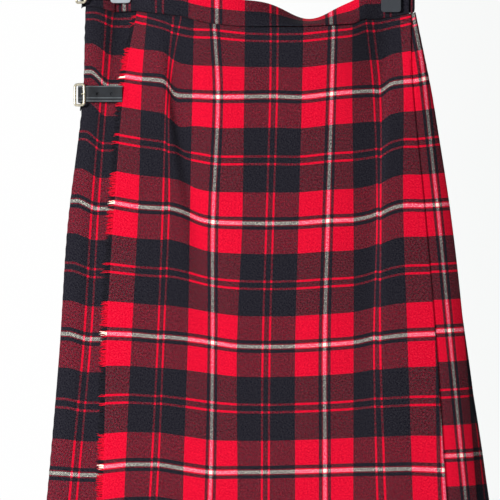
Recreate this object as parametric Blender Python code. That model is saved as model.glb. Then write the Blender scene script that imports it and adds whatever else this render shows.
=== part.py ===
"""A tartan wrap kilt hanging from a clip hanger.

Metres, X to the right of the front, Y from front to back, Z up. The origin is the crown of the
hanger's hook, where a rail carries it. One length of cloth goes round: over apron, right side,
pleated back, left side, under apron. Tables give its sizes in millimetres at six levels.
"""
import math

import bmesh
import bpy
import numpy as np
from mathutils import Vector

MM = 0.001
SEAM_GAP = 0.3 * MM
CLOTH = 1.2 * MM
BAND_CLOTH = 2.4 * MM
BAND_HEIGHT = 32.7 * MM
LAYER_INSET = 4.6 * MM
PLEATS = 15
PLEAT_CLOTH = 68.5 * MM
# How much more than the others the first pleat shows, a level each.
FIRST_MORE = (0.0, 2.0, 6.0, 9.0, 9.0, 8.0)

# One row a level: setts down from the top white line, height, left and right side of the
# silhouette, depth of the front and of the back, width that a pleat shows, distance between
# folded layers, and how far the over apron's edge folds under.
LEVELS = [
    ("seam", -0.58, -151.1, -206.1, 198.4, 29.0, 41.0, 25.5, 1.8, 66.0),
    ("upper", 0.0, -234.5, -208.6, 215.2, 27.0, 36.0, 27.5, 1.9, 64.0),
    ("hip", 1.0, -386.7, -226.5, 241.6, 29.0, 34.0, 33.0, 2.0, 62.0),
    ("thigh", 2.0, -534.2, -236.1, 261.3, 31.0, 35.0, 36.0, 2.3, 60.0),
    ("lower", 3.0, -684.8, -248.7, 280.0, 33.0, 37.0, 38.5, 2.7, 58.0),
    ("hem", 3.82, -808.2, -261.0, 298.9, 35.0, 39.0, 40.5, 3.0, 56.0),
]
COLUMNS = ("name", "setts", "height", "left", "right", "front", "back", "reveal", "layer", "under")

# Warp lines of the over apron: where each hangs across, and how far it is drawn up, a level each.
WARPS = [
    ("edge", (-142.4, -156.6, -168.9, -178.1, -182.0, -187.5), (20.6, 25.5, 25.0, 15.3, 5.6, -1.7)),
    ("red", (-129.7, -136.1, -140.3, -148.1, -155.5, -160.3), (18.1, 21.5, 20.2, 14.1, 8.6, 1.9)),
    ("black", (-93.4, -104.3, -107.0, -113.0, -119.9, -127.0), (13.9, 12.9, 18.4, 11.5, 9.0, 4.8)),
    ("red", (-73.2, -75.0, -78.1, -80.4, -85.4, -87.5), (8.5, 1.2, 10.1, 8.8, 4.2, 0.9)),
    ("white", (-49.0, -44.5, -50.5, -50.9, -53.1, -57.1), (3.6, 0.0, 1.8, 4.6, 0.0, 0.0)),
    ("red", (-12.3, -13.3, -15.6, -21.9, -21.3, -21.2), (0.0, 0.0, 0.4, 0.6, 0.0, 0.0)),
    ("black", (23.0, 22.3, 17.6, 13.4, 12.3, 11.7), (0.0, 0.4, 0.0, 0.0, 0.2, 0.0)),
    ("red", (58.2, 56.4, 52.3, 48.2, 48.1, 48.2), (0.0, 0.0, 0.6, 0.3, 1.1, 0.4)),
    ("white", (94.0, 92.0, 87.3, 83.4, 83.7, 83.5), (1.8, 3.6, 3.3, 2.2, 1.9, 1.1)),
    ("red", (116.7, 116.5, 118.1, 118.0, 117.6, 117.3), (3.6, 6.0, 4.6, 4.8, 2.9, 1.2)),
    ("black", (137.7, 146.7, 149.2, 146.6, 150.2, 155.0), (10.3, 7.6, 11.8, 9.9, 3.2, 0.8)),
    ("red", (175.2, 179.2, 178.3, 183.2, 188.4, 192.3), (15.7, 19.0, 21.6, 13.6, 3.5, -0.8)),
    ("fold", (187.9, 188.8, 203.2, 216.2, 226.9, 236.1), (18.1, 20.0, 21.7, 14.9, 1.6, -9.5)),
]
# How far the cloth is drawn up at the sides, a level each, and how far the back's middle sags.
SIDE_RISE = {
    "right": (20.5, 24.1, 24.0, 19.5, 18.3, 18.0),
    "left": (26.0, 31.3, 27.5, 14.6, -3.1, -17.7),
    "panel": (20.0, 15.0, 15.9, 7.2, -5.6, -15.7),
    "back sag": (42.0, 34.0, 22.0, 11.0, 3.0, 0.0),
}
# The two long soft folds that come down from the band: centre, half width and step, a level each.
SOFT_FOLDS = [
    (1, (-107.5, -102.7, -81.0, -71.5, -66.0, -66.0), (9, 5, 8, 15, 24, 26), (3, 8, 6, 2.5, 1, 0)),
    (-1, (162.4, 158.8, 149.8, 146.8, 146.0, 150.0), (9, 6, 6, 8, 20, 24), (2, 5, 7, 4, 1, 0)),
]
FOLD_REACH = 34 * MM
# How far the side beyond the right fold turns back, a level each.
SIDE_TURN = (0.0, 0.08, 0.22, 0.4, 0.55, 0.6)
TURN_START = 7 * MM
TURN_BEND = 4 * MM
# How much of the over apron's rise the first pleat keeps where it comes out from behind it.
CREASE_SHARE = (1.0, 1.0, 0.9, 0.3, 0.0, 0.0)
# How much of the side panel's width its slope takes, from a plateau at the silhouette.
PANEL_SLOPE = (0.16, 0.62)
ROWS = (-0.58, -0.35, -0.1, 0.2, 0.6, 1.0, 1.5, 2.0, 2.6, 3.2, 3.82)

CLIP_X = {"left": -162.3 * MM, "right": 164.2 * MM}
CLIP_LOW = {"left": -120.6 * MM, "right": -131.6 * MM}
CLIP_PINCH = 0.64
FRONT_PINCH = 1.28
CLIP_SPREAD = 34 * MM
DIP_X = 66.5 * MM
DIP_SPREAD = 38.7 * MM
FRONT_LEAN = 0.70
BACK_LEAN = 0.30
BAND_OVERHANG = 1.5
UNDER_END_X = 96.0 * MM
UNDER_DROP = 4.0 * MM

FRINGE_STRANDS = 200
FRINGE_INSET = 2.0 * MM
FRINGE_STRIP = (3.0 * MM, -1.0 * MM)
FRINGE_LENGTH = 7.6 * MM
FRINGE_HALF = 0.4 * MM
FRINGE_LIFT = 0.3 * MM
# One row a strap: name, height of its middle, where it starts across, how far it stands out more.
STRAPS = [
    ("waist", -106.4 * MM, -164.8 * MM, 0.6 * MM),
    ("hip", -230.4 * MM, -159.6 * MM, 1.0 * MM),
]
STRAP_HEIGHT = 20 * MM
STRAP_THICK = 2.0 * MM
# Millimetres from the strap's start, or round from the left silhouette, and out from the cloth.
STRAP_FRONT = [(0, 2.1), (9, 2.1), (19, 2.2), (30, 2.6)]
STRAP_BUCKLE = [(9.5, 3.4), (3.0, 4.1), (-4.5, 4.2)]
STRAP_BACK = [(7, 7.0), (14, 6.2), (23, 4.8), (32, 4.0)]
TAB_START = (-1.8, 1.75)
TAB_BACK = [(4, 2.3), (10, 2.1), (17, 1.8), (24, 1.8)]
# The tab's upper and lower edge from the buckle's middle, at its start and at its far end.
TAB_EDGES = ((2, -20), (9, -12))
HOLE_RADIUS = 1.8 * MM
HOLE_REACH = 5 * MM
HOLE_AT_BUCKLE = 3.4 * MM
HOLE_PLACES = (-13.2 * MM, -30.0 * MM)
HOLE_OUT = 1.5 * MM
TAB_THICK = 1.2 * MM
TAB_FLARE = 0.09
FRAME_STAND = 7.0 * MM
FRAME_HALF = (8.5 * MM, 12.7 * MM)
FRAME_CORNER = 4.0 * MM
FRAME_RADIUS = 1.7 * MM
FRAME_LOW = 0.8 * MM
BAR_RADIUS = 0.9 * MM
# The bar's bent ends: how far out of the cloth, and how far from the frame's top, in millimetres.
BAR_LOW = [(2.55, 0.6), (1.95, 1.1)]
PRONG_RADIUS = 0.8 * MM
PRONG_LINE = [(2.3, 2.0), (2.8, 3.2), (3.7, 5.6), (4.9, 7.9), (7.2, 9.8), (10.6, 9.9)]
# The buckle lies where the left side has turned this far round from the front, in degrees.
BUCKLE_TURN = 45

HOOK_WIRE = 1.7 * MM
HOOK_RADIUS = 20 * MM
HOOK_TURN = (200, -50, -14)
HOOK_NECK = [(6.5, -38.5), (1.8, -44), (0, -50)]
BAR_TUBE = 2.5 * MM
BAR_END = 178 * MM
BAR_ABOVE = 46 * MM
PIVOT_RADIUS = (2.9 * MM, 4.2 * MM)
PIVOT_HALF = 7 * MM
JAW_THICK = 2.2 * MM
# A clip jaw from its handle to its lip: height over the lip, how far it stands from the bar as a
# share of its pad's distance, and half its width. Where it has no share it bends round the pivot.
JAW_ROWS = [(60, 1.25, 6.0), (52, 1.0, 6.5), (46, None, 7.0), (37, None, 8.5), (29, 1.0, 12.0)]
JAW_ROWS += [(16, 1.0, 12.0), (3, 1.0, 12.0), (0.9, 1.0, 11.1), (0, 1.0, 9.0)]
JAW_AT_PIVOT = 6.1 * MM
JAW_ACROSS = (-1, -0.5, 0.5, 1)
JAW_PADS = {"front": -9.4 * MM, "back": 14.0 * MM}


def smooth_at(stops, values, where):
    """A smooth curve through values at rising stops, read at one place and straight beyond them."""
    last = len(stops) - 1

    def slope(k):
        low, high = max(k - 1, 0), min(k + 1, last)
        return (values[high] - values[low]) / (stops[high] - stops[low])

    if where <= stops[0]:
        return values[0] + slope(0) * (where - stops[0])
    if where >= stops[last]:
        return values[last] + slope(last) * (where - stops[last])
    i = sum(1 for stop in stops[1:last] if stop <= where)
    span = stops[i + 1] - stops[i]
    t = (where - stops[i]) / span
    start, end = slope(i) * span, slope(i + 1) * span
    kept = (2 * t**3 - 3 * t**2 + 1) * values[i] + (3 * t**2 - 2 * t**3) * values[i + 1]
    return kept + (t**3 - 2 * t**2 + t) * start + (t**3 - t**2) * end


LEVEL_SETTS = [row[1] for row in LEVELS]
FOLD = len(WARPS) - 1


def at_level(values, setts):
    return smooth_at(LEVEL_SETTS, values, setts) * MM


def size(column, setts):
    k = COLUMNS.index(column)
    return at_level([row[k] for row in LEVELS], setts)


FINE_SETTS = np.linspace(-0.9, 4.2, 120)
FINE_HEIGHTS = np.array([size("height", v) for v in FINE_SETTS])


def setts_at(height):
    """The level whose own height this is."""
    return float(np.interp(-height, -FINE_HEIGHTS, FINE_SETTS))


def blend(t):
    t = min(max(t, 0.0), 1.0)
    return t * t * (3 - 2 * t)


def pinch(x, level):
    """How much the clips press front and back together."""
    near = sum(math.exp(-(((x - c) / CLIP_SPREAD) ** 2)) for c in CLIP_X.values())
    return CLIP_PINCH * near * (1 - blend((level + 0.58) / 0.98))


def lens(x, level):
    """How much of its full depth the outline has at a place across, and the same with the clips."""
    left, right = size("left", level), size("right", level)
    across = min(abs(2 * x - left - right) / (right - left), 1.0)
    full = math.sqrt(1 - across * across)
    return full, full * (1 - pinch(x, level))


def soft_fold(x, level):
    """How far the front stands back in the two troughs beside its middle."""
    back = 0.0
    for side, centres, widths, steps in SOFT_FOLDS:
        centre, width = at_level(centres, level), at_level(widths, level)
        inward = side * (x - centre)
        fading = math.exp(-((max(inward, 0.0) / FOLD_REACH) ** 2))
        back += at_level(steps, level) * (1 + math.tanh(inward / width)) / 2 * fading
    return back


def turned_side(x, level):
    """How far the right side beyond the front fold's line stands back."""
    beyond = max(x - at_level(WARPS[-1][1], level) - TURN_START, 0.0)
    soft = beyond + TURN_BEND * (math.exp(-beyond / TURN_BEND) - 1)
    return at_level(SIDE_TURN, level) * soft


def front_y(x, level):
    full = lens(x, level)[0]
    pressed = full * (1 - FRONT_PINCH * pinch(x, level))
    return -size("front", level) * pressed + soft_fold(x, level) * full + turned_side(x, level)


def back_y(x, level):
    return size("back", level) * lens(x, level)[1] + turned_side(x, level)


def warp_x(place, setts):
    return smooth_at(range(FOLD + 1), [at_level(row[1], setts) for row in WARPS], place)


def warp_rise(place, setts):
    return smooth_at(range(FOLD + 1), [at_level(row[2], setts) for row in WARPS], place)


def front_point(place, setts, inset=0.0):
    """A point of the over apron: place counts its warp lines from the fringed edge."""
    x = warp_x(place, setts)
    height = size("height", setts) + warp_rise(place, setts)
    return Vector((x, front_y(x, setts_at(height)) + inset, height))


def front_rise(x, setts):
    """The over apron's rise at a place across, for what lies behind it."""
    places = np.linspace(0, FOLD, 49)
    xs = [warp_x(p, setts) for p in places]
    return float(np.interp(x, xs, [warp_rise(p, setts) for p in places]))


class Outline:
    """The garment's outline at one height, from inside its right front fold round to the under apron."""

    def __init__(self, level):
        left, right = size("left", level), size("right", level)
        middle, half = (left + right) / 2, (right - left) / 2
        folds = [front_point(FOLD, v) for v in FINE_SETTS]
        self.crease = float(np.interp(-size("height", level), [-p.z for p in folds], [p.x for p in folds]))
        start = -math.acos((self.crease - 80 * MM - middle) / half)
        end = 2 * math.pi - math.acos((UNDER_END_X + 10 * MM - middle) / half)
        turn = np.concatenate([np.linspace(start, 0.3, 60), np.linspace(0.3, end, 300)[1:]])
        x = middle + half * np.cos(turn)
        y = [back_y(a, level) if 0 < t < math.pi else front_y(a, level) for a, t in zip(x, turn)]
        self.points = np.stack([x, np.array(y)], axis=1)
        steps = np.linalg.norm(np.diff(self.points, axis=0), axis=1)
        along = np.concatenate([[0], np.cumsum(steps)])
        front = turn < 0
        self.along = along - np.interp(self.crease, x[front], along[front])
        self.right_side = float(np.interp(0.0, turn, self.along))
        self.left_side = float(np.interp(math.pi, turn, self.along))
        last = turn > math.pi
        self.front_left = (x[last], self.along[last])
        tangent = np.gradient(self.points, axis=0)
        tangent /= np.linalg.norm(tangent, axis=1)[:, None]
        self.outward = np.stack([tangent[:, 1], -tangent[:, 0]], axis=1)

    def along_at(self, x):
        """The place along the outline where the front left or the under apron is at x."""
        return float(np.interp(x, *self.front_left))

    def place(self, s, out=0.0):
        x, y = (float(np.interp(s, self.along, self.points[:, k])) for k in (0, 1))
        across, back = (float(np.interp(s, self.along, self.outward[:, k])) for k in (0, 1))
        return x + across * out, y + back * out


OUTLINE_LEVELS = np.linspace(-0.9, 4.2, 52)
OUTLINES = []


def near_outlines(level):
    if not OUTLINES:
        OUTLINES.extend(Outline(v) for v in OUTLINE_LEVELS)
    k = float(np.interp(level, OUTLINE_LEVELS, range(len(OUTLINE_LEVELS))))
    low = min(int(k), len(OUTLINES) - 2)
    return OUTLINES[low], OUTLINES[low + 1], k - low


def place(level, s, out):
    first, second, share = near_outlines(level)
    a, b = first.place(s, out), second.place(s, out)
    return [p + (q - p) * share for p, q in zip(a, b)]


def side_rise(s, setts):
    """How far the cloth at a place along the outline is drawn up."""
    outline = near_outlines(setts)[0]
    right, left, panel = (at_level(SIDE_RISE[k], setts) for k in ("right", "left", "panel"))
    crease = right + (front_rise(outline.place(0.0)[0], setts) - right) * at_level(CREASE_SHARE, setts)
    if s <= 0:
        front = front_rise(outline.place(s)[0], setts)
        return front + (crease - front) * blend(1 + s / size("under", setts))
    if s <= outline.right_side:
        return crease + (right - crease) * blend(s / outline.right_side)
    if s <= outline.left_side:
        t = (s - outline.right_side) / (outline.left_side - outline.right_side)
        sag = at_level(SIDE_RISE["back sag"], setts)
        return right + (left - right) * t - sag * math.sin(math.pi * t) ** 1.3
    x = outline.place(s)[0]
    edge, side = warp_x(0, setts), size("left", setts)
    if x < edge:
        return left + (panel - left) * blend(((x - side) / (edge - side) - PANEL_SLOPE[0]) / PANEL_SLOPE[1])
    behind = front_rise(x, setts) - UNDER_DROP
    return panel + (behind - panel) * blend((x - edge) / (30 * MM))


def rows_round(path_at, rows=ROWS):
    """Rows of points along the outline. path_at gives a level's places along and out of it."""
    paths = np.array([path_at(v) for v in OUTLINE_LEVELS])

    def read(level, i):
        return [float(np.interp(level, OUTLINE_LEVELS, paths[:, i, k])) for k in (0, 1)]

    found = []
    for setts in rows:
        row = []
        for i in range(paths.shape[1]):
            level = setts
            for _ in range(4):
                s, out = read(level, i)
                height = size("height", setts) + side_rise(s, setts)
                level = setts_at(height)
            row.append(Vector((*place(level, s, out), height)))
        found.append(row)
    return found


def material(name, colour, roughness, metallic=0.0):
    made = bpy.data.materials.new(name)
    made.use_nodes = True
    shader = made.node_tree.nodes["Principled BSDF"]
    shader.inputs["Base Color"].default_value = (*colour, 1)
    shader.inputs["Roughness"].default_value = roughness
    shader.inputs["Metallic"].default_value = metallic
    return made


def add(name, mesh, finish):
    mesh.materials.append(finish)
    made = bpy.data.objects.new(name, mesh)
    bpy.context.scene.collection.objects.link(made)
    return made


def grid_normals(rows):
    """Unit normals of a grid of points, whose rows run across the outside and go down."""
    normals = []
    for j, row in enumerate(rows):
        above, below = rows[max(j - 1, 0)], rows[min(j + 1, len(rows) - 1)]
        line = []
        for i in range(len(row)):
            across = row[min(i + 1, len(row) - 1)] - row[max(i - 1, 0)]
            line.append(across.cross(above[i] - below[i]).normalized())
        normals.append(line)
    return normals


def wall(name, rows, thickness, finish):
    """A closed wall of even thickness about a grid of points."""
    normals = grid_normals(rows)
    shape = bmesh.new()
    sides = []
    for half in (thickness / 2, -thickness / 2):
        sides.append([[shape.verts.new(p + n * half) for p, n in zip(*pair)] for pair in zip(rows, normals)])
    outer, inner = sides
    high, wide = len(rows), len(rows[0])
    for j in range(high - 1):
        for i in range(wide - 1):
            shape.faces.new([outer[j][i], outer[j + 1][i], outer[j + 1][i + 1], outer[j][i + 1]])
            shape.faces.new([inner[j][i], inner[j][i + 1], inner[j + 1][i + 1], inner[j + 1][i]])
    rim = [(0, i) for i in range(wide)] + [(j, wide - 1) for j in range(1, high)]
    rim += [(high - 1, i) for i in range(wide - 2, -1, -1)] + [(j, 0) for j in range(high - 2, 0, -1)]
    for (j, i), (m, n) in zip(rim, rim[1:] + rim[:1]):
        shape.faces.new([outer[j][i], outer[m][n], inner[m][n], inner[j][i]])
    bmesh.ops.recalc_face_normals(shape, faces=shape.faces)
    mesh = bpy.data.meshes.new(name)
    shape.to_mesh(mesh)
    shape.free()
    mesh.shade_smooth()
    mesh.set_sharp_from_angle(angle=math.radians(50))
    return add(name, mesh, finish)


UNDER_SHARES = (0.12, 0.28, 0.44, 0.6, 0.76, 0.9)


def over_apron(finish):
    """The flat front, its folded right edge, and the part that turns under to the hidden seam."""

    def turned_under(level):
        layer, under = size("layer", level), size("under", level)
        path = [(0, 0), (layer * 0.45, -layer / 2), (0, -layer)]
        path += [(-under * share, -layer) for share in UNDER_SHARES]
        return path + [(-under, -layer * 0.9)]

    paths = np.array([turned_under(v) for v in OUTLINE_LEVELS])
    rows = []
    for setts in ROWS:
        row = [front_point(k * 0.5, setts) for k in range(2 * FOLD)]
        height = size("height", setts) + warp_rise(FOLD, setts)
        for i in range(paths.shape[1]):
            for _ in range(3):
                level = setts_at(height)
                s, out = (float(np.interp(level, OUTLINE_LEVELS, paths[:, i, k])) for k in (0, 1))
                x, y = place(level, s, out)
                height = size("height", setts) + front_rise(x, setts)
            row.append(Vector((x, y, height)))
        rows.append(row)
    return wall("over_apron", rows, CLOTH, finish)


def pleat_depth(level):
    return (PLEAT_CLOTH - size("reveal", level)) / 2


def pleat_fold(k, level):
    """How far from the front fold a pleat's own fold lies; all but the first are even."""
    return k * size("reveal", level) + at_level(FIRST_MORE, level) * (PLEATS - k) / (PLEATS - 1)


def pleated_back(finish):
    """Knife pleats from the hidden seam round the right side and across the back."""

    def pleats(level):
        layer, under = size("layer", level), size("under", level)
        depth = pleat_depth(level)
        low, mid, deep = -2 * layer, -layer, -2.8 * layer
        path = [(-under, deep)] + [(-under * share, deep) for share in reversed(UNDER_SHARES)]
        path += [(-1 * MM, low), (3.4 * MM, low)]
        for k in range(1, PLEATS + 1):
            fold = pleat_fold(k, level)
            path += [(fold - depth * 0.92, -0.06 * layer), (fold - depth * 0.45, 0), (fold, 0)]
            path += [(fold + layer * 0.45, mid / 2), (fold, mid), (fold - depth, mid)]
            if k < PLEATS:
                path += [(fold - depth - layer * 0.45, (low + mid) / 2), (fold - depth, low)]
                path += [(fold + 3 * MM, low)]
        return path

    return wall("pleated_back", rows_round(pleats), CLOTH, finish)


UNDER_PANEL = (-0.1, 0.08, 0.22, 0.4, 0.58, 0.72, 0.88)
PANEL_SEAM = 9


def under_path(level):
    """From under the last pleat round the left side, and flat behind the over apron."""
    outline = near_outlines(level)[0]
    layer, fold, side = size("layer", level), PLEATS * size("reveal", level), outline.left_side
    edge = outline.along_at(warp_x(0, level))
    end = outline.along_at(UNDER_END_X)
    path = [(fold - pleat_depth(level) * t, -2.5 * layer) for t in (1, 0.5, -0.15)]
    path += [(fold + (side - fold) * t, -2 * layer * (1 - blend(t))) for t in (0.4, 0.7)]
    path += [(side + (edge - side) * t, -LAYER_INSET * blend((t - 0.3) / 0.35)) for t in UNDER_PANEL]
    return path + [(edge + (end - edge) * k / 14, -LAYER_INSET) for k in range(1, 15)]


def under_apron(finish):
    return wall("under_apron", rows_round(under_path), CLOTH, finish)


def band(name, base, side, lean_in, finish):
    """A waistband that stands on a line of points and leans in where it dips."""
    rows = []
    for share in (1.0, 0.66, 0.33, 0.0):
        length = share * BAND_HEIGHT
        row = []
        for point in base:
            upright = 1 - lean_in * math.exp(-(((point.x - DIP_X) / DIP_SPREAD) ** 2))
            leaning = math.sqrt(1 - upright * upright)
            clear = SEAM_GAP + 0.4 * MM + leaning * BAND_CLOTH * 0.6
            row.append(point + Vector((0, -side * leaning * length, length * upright + clear)))
        rows.append(row)
    return wall(name, rows, BAND_CLOTH, finish)


def waistbands(finish):
    setts = LEVEL_SETTS[0]
    over = [front_point(k * 0.5 - BAND_OVERHANG, setts) for k in range(2 * FOLD + 3)]
    for point in over[:3]:
        point.z = over[3].z
        point.y = front_y(point.x, setts_at(point.z))
    band("waistband_over_apron", over, -1, FRONT_LEAN, finish)
    under = rows_round(lambda level: under_path(level)[PANEL_SEAM:], LEVEL_SETTS[:1])[0]
    band("waistband_under_apron", under, -1, FRONT_LEAN, finish)

    def path_at(level):
        layer = size("layer", level)
        path = [(SEAM_GAP + 0.5 * MM, -layer)]
        for k in range(1, PLEATS + 1):
            path += [(pleat_fold(k, level) - pleat_depth(level) * t, -layer) for t in (0.7, 0.0)]
        rest = under_path(level)[3:PANEL_SEAM + 1]
        rest[-1] = (rest[-1][0] - 3 * SEAM_GAP, rest[-1][1])
        return path + rest

    back = rows_round(path_at, LEVEL_SETTS[:1])[0]
    band("waistband_back", back, 1, BACK_LEAN, finish)


def apron_fringe(finish):
    """A narrow strip behind the over apron's left edge, whose outer edge carries the strands."""
    top, bottom = ROWS[0] + 0.02, ROWS[-1] - 0.01
    hem_side = [[front_point(place, v) for v in ROWS] for place in (0, 0.5)]
    count = 2 * FRINGE_STRANDS
    shape = bmesh.new()
    rings = []
    lean = []
    for k in range(count + 1):
        setts = top + (bottom - top) * k / count
        ends = [[np.interp(setts, ROWS, [p[i] for p in side]) for i in range(3)] for side in hem_side]
        edge, inside = map(Vector, ends)
        level = setts_at(edge.z)
        inner, outer = FRINGE_STRIP
        half = FRINGE_HALF
        lean.append((front_y(edge.x - FRINGE_LENGTH, level) - front_y(edge.x, level)) / FRINGE_LENGTH)
        slope = (inside.y - edge.y) / (inside.x - edge.x)
        edge.y += FRINGE_INSET
        across = [(inner, inner * slope), (outer, -outer * lean[-1])]
        corners = [(*across[i], side * half) for i, side in ((0, -1), (1, -1), (1, 1), (0, 1))]
        rings.append([shape.verts.new(edge + Vector((x, y + out, 0))) for x, y, out in corners])
    for k, (a, b) in enumerate(zip(rings, rings[1:])):
        for i, j in ((0, 1), (2, 3), (3, 0)):
            shape.faces.new([a[i], a[j], b[j], b[i]])
        root = [a[1], a[2], b[2], b[1]]
        if k % 2:
            shape.faces.new(root)
            continue
        middle = sum((v.co for v in root), Vector()) / 4
        waver = math.sin(k * 2.4) * 0.8 * MM + math.sin(k * 0.37) * 0.6 * MM
        reach = FRINGE_LENGTH - waver
        point = shape.verts.new(middle + Vector((-reach, reach * lean[k] - FRINGE_LIFT, waver / 2)))
        for first, second in zip(root, root[1:] + root[:1]):
            shape.faces.new([first, second, point])
    shape.faces.new(rings[0])
    shape.faces.new(list(reversed(rings[-1])))
    bmesh.ops.recalc_face_normals(shape, faces=shape.faces)
    mesh = bpy.data.meshes.new("apron_fringe")
    shape.to_mesh(mesh)
    shape.free()
    add("apron_fringe", mesh, finish)


def wire(name, points, radius, finish, closed=False, sides=2):
    """A round wire along a line of points, with flat ends where it isn't closed."""
    curve = bpy.data.curves.new(name, "CURVE")
    curve.dimensions = "3D"
    curve.bevel_depth = radius
    curve.bevel_resolution = sides
    curve.use_fill_caps = True
    line = curve.splines.new("POLY")
    line.points.add(len(points) - 1)
    for spot, point in zip(line.points, points):
        spot.co = (*point, 1)
    line.use_cyclic_u = closed
    curve.materials.append(finish)
    made = bpy.data.objects.new(name, curve)
    bpy.context.scene.collection.objects.link(made)
    return made


def join(target, other, operation):
    """A Boolean whose second object is only a tool."""
    other.hide_render = True
    other.display_type = "WIRE"
    change = target.modifiers.new(other.name, "BOOLEAN")
    change.operation = operation
    change.solver = "EXACT"
    change.object = other


def as_mesh(made):
    """The object with its curve turned into a mesh, so that Booleans can follow."""
    bpy.context.view_layer.update()
    mesh = bpy.data.meshes.new_from_object(made.evaluated_get(bpy.context.evaluated_depsgraph_get()))
    name = made.name
    bpy.data.objects.remove(made, do_unlink=True)
    shape = bmesh.new()
    shape.from_mesh(mesh)
    bmesh.ops.remove_doubles(shape, verts=shape.verts, dist=0.001 * MM)
    bmesh.ops.recalc_face_normals(shape, faces=shape.faces)
    shape.to_mesh(mesh)
    shape.free()
    solid = bpy.data.objects.new(name, mesh)
    bpy.context.scene.collection.objects.link(solid)
    return solid


def densely(points, steps):
    """More points along a smooth curve through these."""
    stops = list(range(len(points)))
    fine = np.linspace(0, stops[-1], steps * stops[-1] + 1)
    return [[smooth_at(stops, [p[k] for p in points], t) for k in range(len(points[0]))] for t in fine]


class Corner:
    """The left side at a strap: a frame of axes where the buckle lies, and the strap's own line."""

    def __init__(self, height, start, stand):
        self.level = max(setts_at(height), LEVEL_SETTS[0])
        self.height, self.start, self.stand = height, start, stand
        outline = near_outlines(self.level)[0]
        self.outline = outline
        turn = np.degrees(np.arctan2(-outline.outward[:, 1], -outline.outward[:, 0]))
        near = (outline.along > outline.left_side - 30 * MM) & (outline.along < outline.left_side + 60 * MM)
        s = float(np.interp(BUCKLE_TURN, turn[near], outline.along[near]))
        self.middle = Vector((*outline.place(s), height))
        a, b = Vector(outline.place(s, 0)), Vector(outline.place(s, 1 * MM))
        self.out = Vector((*(b - a).normalized(), 0))
        self.along = Vector((-self.out.y, self.out.x, 0))

    def at(self, along, out, up=0.0):
        return self.middle + self.along * along + self.out * (out + self.stand) + Vector((0, 0, up))

    def round(self, reach, out):
        """A point of the back left, this far round from the left silhouette."""
        return Vector((*self.outline.place(self.outline.left_side - reach, out + self.stand), self.height))

    def front(self, x, out):
        return Vector((*self.outline.place(self.outline.along_at(x), out), self.height))


def ribbon(name, line, edges, thickness, finish, flare=0.0):
    """A flat strip along a line, between an upper and a lower edge at each place."""
    rows = []
    for t in (0.0, 0.5, 1.0):
        ups = [a + (b - a) * t for a, b in edges]
        rows.append([p + Vector((flare * up, 0, up)) for p, up in zip(line, ups)])
    return wall(name, rows, thickness, finish)


def strap(name, corner, finish):
    """From the apron's left edge over the side panel, through the buckle and on round the back."""
    start, stand = corner.start, corner.stand
    wanted = [corner.front(start - back * MM, out * MM + stand) for back, out in STRAP_FRONT]
    wanted += [corner.at(along * MM, out * MM) for along, out in STRAP_BUCKLE]
    wanted += [corner.round(reach * MM, out * MM) for reach, out in STRAP_BACK]
    line = [Vector(p) for p in densely(wanted, 3)]
    edges = [(STRAP_HEIGHT / 2, -STRAP_HEIGHT / 2)] * len(line)
    made = ribbon(f"strap_{name}", line, edges, STRAP_THICK, finish)
    spots = [corner.at(HOLE_AT_BUCKLE, HOLE_AT_BUCKLE)]
    spots += [corner.front(start + k, HOLE_OUT) for k in HOLE_PLACES]
    ways = [corner.out] + [Vector((0.0, -1.0, 0.0))] * len(HOLE_PLACES)
    for k, (spot, way) in enumerate(zip(spots, ways)):
        ends = [spot - way * HOLE_REACH, spot + way * HOLE_REACH]
        hole = wire(f"hole_{name}_{k}", ends, HOLE_RADIUS, finish)
        join(made, as_mesh(hole), "DIFFERENCE")
    return made


def tab(name, corner, finish):
    """The short leather piece that holds the buckle's bar, and hangs a little below it."""
    wanted = [corner.at(*(k * MM for k in TAB_START))]
    wanted += [corner.round(reach * MM, out * MM) for reach, out in TAB_BACK]
    line = [Vector(p) for p in densely(wanted, 2)]
    shares = np.linspace(0, 1, len(line))
    edges = [tuple((a + (b - a) * t) * MM for a, b in zip(*TAB_EDGES)) for t in shares]
    ribbon(f"tab_{name}", line, edges, TAB_THICK, finish, TAB_FLARE)


def buckle(name, corner, finish):
    """A rounded frame with a bar that passes behind the strap, and a prong through its hole."""
    wide, high = FRAME_HALF
    ring = []
    for turn in np.radians(np.arange(0, 360, 22.5)):
        reach = Vector((math.cos(turn), math.sin(turn)))
        corner_x, corner_z = wide - FRAME_CORNER, high - FRAME_CORNER
        x = math.copysign(corner_x, reach.x) if abs(reach.x) > 1e-6 else 0.0
        z = math.copysign(corner_z, reach.y) if abs(reach.y) > 1e-6 else 0.0
        up = z + FRAME_CORNER * reach.y - FRAME_LOW
        ring.append(corner.at(x + FRAME_CORNER * reach.x, FRAME_STAND, up))
    frame = as_mesh(wire(f"buckle_{name}", ring, FRAME_RADIUS, finish, closed=True))
    bends = [(FRAME_STAND, high)] + [(out * MM, high - less * MM) for out, less in BAR_LOW]
    bends += [(out, -up) for out, up in reversed(bends)]
    bar = [corner.at(0, out, up - FRAME_LOW) for out, up in bends]
    staple = wire(f"bar_{name}", bar, BAR_RADIUS, finish, sides=1)
    join(frame, as_mesh(staple), "UNION")
    line = [corner.at(along * MM, out * MM) for along, out in PRONG_LINE]
    as_mesh(wire(f"prong_{name}", line, PRONG_RADIUS, finish, sides=1))


def bar_height(x):
    left, right = CLIP_X["left"], CLIP_X["right"]
    share = (x - left) / (right - left)
    return BAR_ABOVE + CLIP_LOW["left"] + (CLIP_LOW["right"] - CLIP_LOW["left"]) * share


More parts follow.
